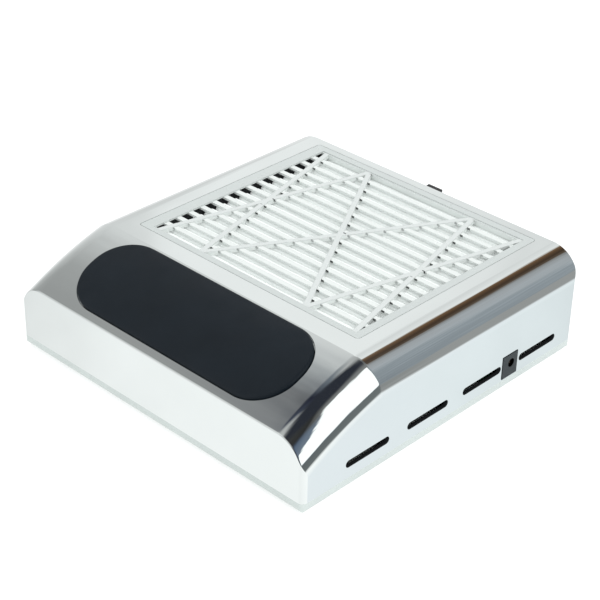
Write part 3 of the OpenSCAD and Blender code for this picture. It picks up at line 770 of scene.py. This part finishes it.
FINISHES = {
    "chrome_shell": dict(color=(0.875, 0.925, 0.915), metallic=1.0, rough=0.035, spread=0.015,
                         grain=(9, 0.02), tint=0.01),
    # near-black finish that paints the shade inside the housing, behind the outlet slots
    "shell_inside": dict(color=(0.02, 0.022, 0.024), rough=0.7, grain=(2200, 0.2), specular=0.1),
    "base_plastic": dict(color=(0.64, 0.70, 0.68), rough=0.22, coat=0.4),
    "screw_steel": dict(color=(0.45, 0.46, 0.48), metallic=1.0, rough=0.32, bevel=0.15),
    "foot_rubber": dict(color=(0.02, 0.02, 0.021), rough=0.75, grain=(1500, 0.3), bevel=0.3),
    "pad_leather": dict(color=(0.0062, 0.0115, 0.0175), rough=0.52, spread=0.06, grain=(2600, 0.30),
                        tint=0.12, specular=0.28),
    "pad_foam": dict(color=(0.20, 0.21, 0.22), rough=0.95, grain=(2500, 0.8)),
    "inner_plastic": dict(color=(0.035, 0.037, 0.04), rough=0.5, grain=(2200, 0.2), bevel=0.3),
    "filter_plastic": dict(color=(0.565, 0.60, 0.59), rough=0.28, coat=0.2, bevel=0.25, tint=0.02),
    # the paper's glow is painted light: it gives off a little light of its own, which lifts the shade
    # between the slats
    "filter_paper": dict(color=(0.86, 0.885, 0.875), rough=0.92, grain=(3000, 0.5), tint=0.03,
                         specular=0.1, glow=0.13),
    "gasket_foam": dict(color=(0.04, 0.04, 0.042), rough=0.9, grain=(2600, 0.7)),
    "guard_wire": dict(color=(0.62, 0.63, 0.65), metallic=1.0, rough=0.2),
    "fan_plastic": dict(color=(0.018, 0.018, 0.02), rough=0.45, grain=(2400, 0.15), bevel=0.3),
    "rotor_steel": dict(color=(0.42, 0.43, 0.45), metallic=1.0, rough=0.35),
    "magnet": dict(color=(0.05, 0.046, 0.042), rough=0.7, grain=(2500, 0.4)),
    "bright_steel": dict(color=(0.66, 0.67, 0.69), metallic=1.0, rough=0.15),
    "copper": dict(color=(0.62, 0.27, 0.10), metallic=1.0, rough=0.3, grain=(4000, 0.5)),
    "circuit_board": dict(color=(0.012, 0.11, 0.05), rough=0.35, coat=0.3, grain=(1800, 0.1)),
    "capacitor_sleeve": dict(color=(0.01, 0.015, 0.06), rough=0.25),
    "nylon": dict(color=(0.74, 0.73, 0.68), rough=0.4, bevel=0.2),
    "socket_plastic": dict(color=(0.040, 0.050, 0.054), rough=0.5, grain=(2400, 0.2), bevel=0.3,
                           specular=0.3),
    "contact_metal": dict(color=(0.09, 0.072, 0.05), metallic=1.0, rough=0.55),
    "switch_plastic": dict(color=(0.010, 0.010, 0.011), rough=0.3, bevel=0.3, grain=(2400, 0.1)),
    "cable_jacket": dict(color=(0.015, 0.015, 0.016), rough=0.5),
}


def paint_light_and_shade(mat, factor, colour):
    """Cover a material's colour with another, as far as the factor says; used to paint light and shade.
    """
    base = mat.node_tree.nodes["Principled BSDF"].inputs["Base Color"]
    shade = mix(mat.node_tree, factor, base.links[0].from_socket, colour)
    mat.node_tree.links.new(shade, base)


def paint_grille_light_and_shadow(mat):
    """Painted light and shadow on the grille: slats paler than the flange and lower faces paler still,
    to lift their shade, and painted shadow spots where each slat meets a diagonal bar's right side.
    """
    slat_top = TOP - 0.2
    slat_side = TOP - 0.6
    shadow_spot_foot = TOP - 1.9
    shadow_spot_at = 0.835  # place of the painted shadow spots in the opening between two slats
    shadow_spot_half = 0.045
    tree = mat.node_tree
    x, y, z, _ = axes(tree, "Object")
    x = maths(tree, "MULTIPLY", x, 1000)
    y = maths(tree, "SUBTRACT", maths(tree, "MULTIPLY", y, 1000), float(CENTRE[1] + SLATS_FRONT))
    z = maths(tree, "MULTIPLY", z, 1000)
    phase = maths(tree, "FRACT", maths(tree, "DIVIDE", y, SLAT_PITCH))
    off = maths(tree, "ABSOLUTE", maths(tree, "SUBTRACT", phase, shadow_spot_at))
    row = maths(tree, "LESS_THAN", off, shadow_spot_half)
    painted_shadow_spots = 0.0
    # painted shadow spots beside the diagonal bars of both leans
    for lean, aside, half_w, strength in ((-1, 3.1, 1.15, 0.95), (1, 2.9, 0.9, 0.45)):
        for start, end in diagonals(lean):
            rate = (end - start) / (SLATS_BACK - SLATS_FRONT)
            line = maths(tree, "ADD", maths(tree, "MULTIPLY", y, rate), start + aside)
            near = maths(tree, "ABSOLUTE", maths(tree, "SUBTRACT", x, line))
            spot = maths(tree, "MULTIPLY", maths(tree, "LESS_THAN", near, half_w), row)
            painted_shadow_spots = maths(tree, "MAXIMUM", maths(tree, "MULTIPLY", spot, strength), painted_shadow_spots)
    below_top = maths(tree, "LESS_THAN", z, slat_top)
    in_slat = maths(tree, "MULTIPLY", maths(tree, "GREATER_THAN", z, shadow_spot_foot), below_top)
    # painted light: faces below the flange's top paler, and the slats' sides and lower faces paler
    # still, to lift their shade
    paint_light_and_shade(mat, below_top, (0.66, 0.69, 0.68))
    paint_light_and_shade(mat, maths(tree, "LESS_THAN", z, slat_side), (0.77, 0.80, 0.785))
    # painted shadow: near-black spots where each slat meets a diagonal bar's right side
    paint_light_and_shade(mat, maths(tree, "MULTIPLY", painted_shadow_spots, in_slat), (0.012, 0.016, 0.015))


def shade_bore(mat, face_x):
    """Nearly black and without shine behind the socket's face, where light hardly reaches."""
    tree = mat.node_tree
    x, *_ = axes(tree, "Object")
    behind = maths(tree, "LESS_THAN", x, face_x - 0.3 * MM)
    paint_light_and_shade(mat, behind, (0.002, 0.002, 0.002))
    shine = tree.nodes["Principled BSDF"].inputs["Specular IOR Level"]
    full = shine.default_value
    tree.links.new(maths(tree, "SUBTRACT", full, maths(tree, "MULTIPLY", behind, full)), shine)


def paint():
    """Every finish by name, with each CAD piece wearing its own."""
    made = {name: material(name, **args) for name, args in FINISHES.items()}
    # painted light and shadow on the grille
    paint_grille_light_and_shadow(made["filter_plastic"])
    shade_bore(made["socket_plastic"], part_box("jack_housing")[1][0])
    slots = {s["node"]: s["material_slot"] for s in frame["record"]["subparts"]}
    slots["jack_pin"] = "contact_metal"  # dull, so that the bore stays dark
    for node, obj in NODES.items():
        wear(obj, made[slots[node]])
    return made


# ---------- studio ----------

# Directions are (turn, rise) in degrees: turn is 0 towards the back and 90 towards the right,
# rise is 0 at the horizon and 90 overhead. Colours of ramps are sRGB levels, grey where one number.

CIRCLE = (-180, 180)
WALLS = [
    (-180, 200), (-150, 235), (-120, 225), (-109, 146), (-100, 148), (-88, 156), (-78, 180),
    (-68, 206), (-56, 203), (-51, 206), (-48, 230), (-40, 228), (-36, 220), (-33, 208),
    (-16, 224), (-12, (116, 92, 72)), (-6, (90, 70, 54)),
    (4, (66, 54, 45)), (12, (84, 72, 62)), (15, (116, 112, 110)), (20, (146, 148, 151)),
    (28, (156, 158, 162)), (36, (158, 162, 167)), (41, (136, 142, 148)), (50, (130, 136, 142)),
    (54, (103, 108, 113)), (94, (104, 114, 128)), (104, (84, 97, 116)),
    (112, (58, 64, 76)), (135, 90), (150, 220), (180, 200),
]
CEILING = [
    (-180, 60), (-140, 190), (-118, 170), (-106, (64, 68, 80)), (-90, (41, 43, 54)),
    (-74, (102, 108, 116)), (-58, 170),
    (-30, 150), (0, 90), (40, 120), (60, 120), (90, 110), (105, 50), (135, 60), (180, 60),
]
SKIRTING = [
    (-180, 210), (-90, 200), (-60, 225), (-30, 215), (0, 170), (25, 150), (48, 145),
    (56, (106, 110, 111)), (95, (82, 87, 90)), (120, 120), (180, 210),
]
TABLE = [
    (-180, 238), (-138, 242), (-131, 240), (-124, 220), (-112, 224), (-60, 244),
    (31, (208, 213, 216)), (36, (224, 229, 232)), (42, (226, 230, 234)), (60, 248), (180, 238),
]


def ramp(tree, value, stops):
    """Colour by a turn in degrees."""
    r = tree.nodes.new("ShaderNodeValToRGB")
    r.color_ramp.interpolation = "LINEAR"
    while len(r.color_ramp.elements) < len(stops):
        r.color_ramp.elements.new(0.5)
    for element, (at, colour) in zip(r.color_ramp.elements, stops):
        element.position = (at - CIRCLE[0]) / (CIRCLE[1] - CIRCLE[0])
        rgb = colour if isinstance(colour, tuple) else (colour,) * 3
        element.color = (*[(c / 255) ** 2.2 / 0.9 for c in rgb], 1)
    tree.links.new(remap(tree, value, *CIRCLE), r.inputs["Fac"])
    return r.outputs["Color"]


def above(tree, value, a, b):
    """0 up to a, 1 from b on."""
    return remap(tree, value, a, b, smooth=True)


def below(tree, value, a, b):
    """1 up to a, 0 from b on."""
    return remap(tree, value, a, b, 1, 0, smooth=True)


def band(tree, value, a, b, c, d):
    """1 between b and c, falling to 0 at a and d."""
    return maths(tree, "MULTIPLY", above(tree, value, a, b), below(tree, value, c, d))


def studio_colour(tree):
    """Colour of the studio by direction: walls, ceiling, a softbox, the table and dark gaps."""
    x, y, z, place = axes(tree, "Generated")

    def degrees(op, *values):
        return maths(tree, "MULTIPLY", maths(tree, op, *values), 180 / math.pi)

    def ripple(value, scale, amount):
        """Wavy shift by direction, in degrees."""
        wave = maths(tree, "SUBTRACT", noise(tree, place, scale, 2), 0.5)
        return maths(tree, "ADD", value, maths(tree, "MULTIPLY", wave, amount))

    def patch(turns, rises):
        """1 within a patch of directions, with soft edges."""
        return maths(tree, "MULTIPLY", band(tree, turn, *turns), band(tree, rise, *rises))

    turn = ripple(degrees("ARCTAN2", x, y), 22, 7)
    rise = ripple(degrees("ARCSINE", z), 14, 5)
    walls = ramp(tree, turn, WALLS)
    # pale clouds on the wall behind on the right
    haze = remap(tree, noise(tree, place, 17, 5), 0.48, 0.75, 0.0, 0.5)
    haze = maths(tree, "MULTIPLY", haze, band(tree, turn, 18, 26, 48, 53))
    walls = mix(tree, haze, walls, (0.44, 0.475, 0.52))
    sky = mix(tree, above(tree, rise, 48, 62), walls, ramp(tree, turn, CEILING))
    # white softbox on the right
    softbox = patch((53, 56, 89, 92), (1.5, 3.5, 62, 65))
    sky = mix(tree, softbox, sky, (1.15, 1.15, 1.15))
    # dark overhead, grey just below the horizon, the pale table below that
    sky = mix(tree, above(tree, rise, 67, 78), sky, (0.026, 0.029, 0.039))
    sky = mix(tree, below(tree, rise, -1, 2), sky, ramp(tree, turn, SKIRTING))
    sky = mix(tree, below(tree, rise, -23, -16), sky, ramp(tree, turn, TABLE))
    # dark gaps low in front, on the left and on the right
    gap_left = patch((-166, -158, -124, -116), (-16, -11, 3, 8))
    sky = mix(tree, gap_left, sky, (0.085, 0.10, 0.11))
    gap_right = patch((114, 124, 181, 182), (-15, -9, 30, 42))
    return mix(tree, gap_right, sky, (0.055, 0.065, 0.075))


def build_world():
    """Plain white to the camera; the studio to reflections; even pale light to everything else."""
    world = bpy.data.worlds.new("studio")
    bpy.context.scene.world = world
    world.use_nodes = True
    tree = world.node_tree
    nodes, links = tree.nodes, tree.links
    nodes.clear()

    def background(colour, strength=1.0):
        b = nodes.new("ShaderNodeBackground")
        b.inputs["Strength"].default_value = strength
        if isinstance(colour, tuple):
            b.inputs["Color"].default_value = (*colour, 1)
        else:
            links.new(colour, b.inputs["Color"])
        return b.outputs[0]

    def choose(ray, no, yes):
        pick = nodes.new("ShaderNodeMixShader")
        for socket, value in zip(pick.inputs, (rays.outputs[ray], no, yes)):
            links.new(value, socket)
        return pick.outputs[0]

    rays = nodes.new("ShaderNodeLightPath")
    even = background((0.97, 1.0, 1.0), 0.85)
    seen = choose("Is Glossy Ray", even, background(studio_colour(tree)))
    seen = choose("Is Camera Ray", seen, background((1.0, 1.0, 1.0)))
    links.new(seen, nodes.new("ShaderNodeOutputWorld").inputs["Surface"])


def area_light(name, position, target, size, power):
    """Round soft light that reflections and the camera don't see. Metres and watts."""
    data = bpy.data.lights.new(name, "AREA")
    data.shape = "DISK"
    data.size = size
    data.energy = power
    obj = add_object(name, data)
    obj.location = position
    obj.rotation_euler = (Vector(target) - Vector(position)).to_track_quat("-Z", "Y").to_euler()
    obj.visible_glossy = False
    obj.visible_camera = False
    return obj


def build_floor():
    """Pale floor that glows a little, so that shadows on it stay faint."""
    s = 6.0
    mesh = bpy.data.meshes.new("floor")
    mesh.from_pydata([(-s, -s, 0), (s, -s, 0), (s, s, 0), (-s, s, 0)], [], [(0, 1, 2, 3)])
    floor = add_object("floor", mesh)
    mat = bpy.data.materials.new("floor_white")
    mat.use_nodes = True
    nodes, links = mat.node_tree.nodes, mat.node_tree.links
    nodes.clear()
    diffuse = nodes.new("ShaderNodeBsdfDiffuse")
    diffuse.inputs["Color"].default_value = (0.60, 0.60, 0.60, 1)
    glow = nodes.new("ShaderNodeEmission")
    glow.inputs["Color"].default_value = (1, 1, 1, 1)
    glow.inputs["Strength"].default_value = 0.55
    add = nodes.new("ShaderNodeAddShader")
    links.new(diffuse.outputs[0], add.inputs[0])
    links.new(glow.outputs[0], add.inputs[1])
    links.new(add.outputs[0], nodes.new("ShaderNodeOutputMaterial").inputs["Surface"])
    wear(floor, mat)
    floor.visible_glossy = False


def build_camera():
    """Camera that looks down on the front right corner, from about a metre away."""
    turn, rise, roll = math.radians(43.474), math.radians(31.368), math.radians(1.308)
    target = (Vector((3.416, -2.628, 37.527)) + Vector(CENTRE)) * MM
    distance = 1065.40 * MM
    back = Vector((math.sin(turn) * math.cos(rise), -math.cos(turn) * math.cos(rise), math.sin(rise)))
    right = Vector((math.cos(turn), math.sin(turn), 0))
    up = back.cross(right)
    x_axis = math.cos(roll) * right + math.sin(roll) * up
    y_axis = -math.sin(roll) * right + math.cos(roll) * up
    data = bpy.data.cameras.new("camera")
    data.sensor_width = 36.0
    data.lens = 100.63
    data.clip_end = 50
    cam = add_object("camera", data)
    pose = Matrix((x_axis, y_axis, back)).transposed().to_4x4()
    pose.translation = target + distance * back
    cam.matrix_world = pose
    bpy.context.scene.camera = cam


def build_studio():
    build_world()
    build_floor()
    build_camera()
    aim = (0, 0, 0.05)
    area_light("key", position=(-0.9, 0.9, 1.5), target=aim, size=1.2, power=12)
    area_light("fill", position=(1.4, -0.4, 1.0), target=aim, size=1.0, power=7)
    view = bpy.context.scene.view_settings
    view.view_transform = "Standard"
    view.look = "None"


# ---------- assembly ----------

finishes = paint()
dress_shell(build_shell(), finishes["chrome_shell"], finishes["shell_inside"])
wear(build_pad(), finishes["pad_leather"])
wear(build_media(), finishes["filter_paper"])
build_studio()
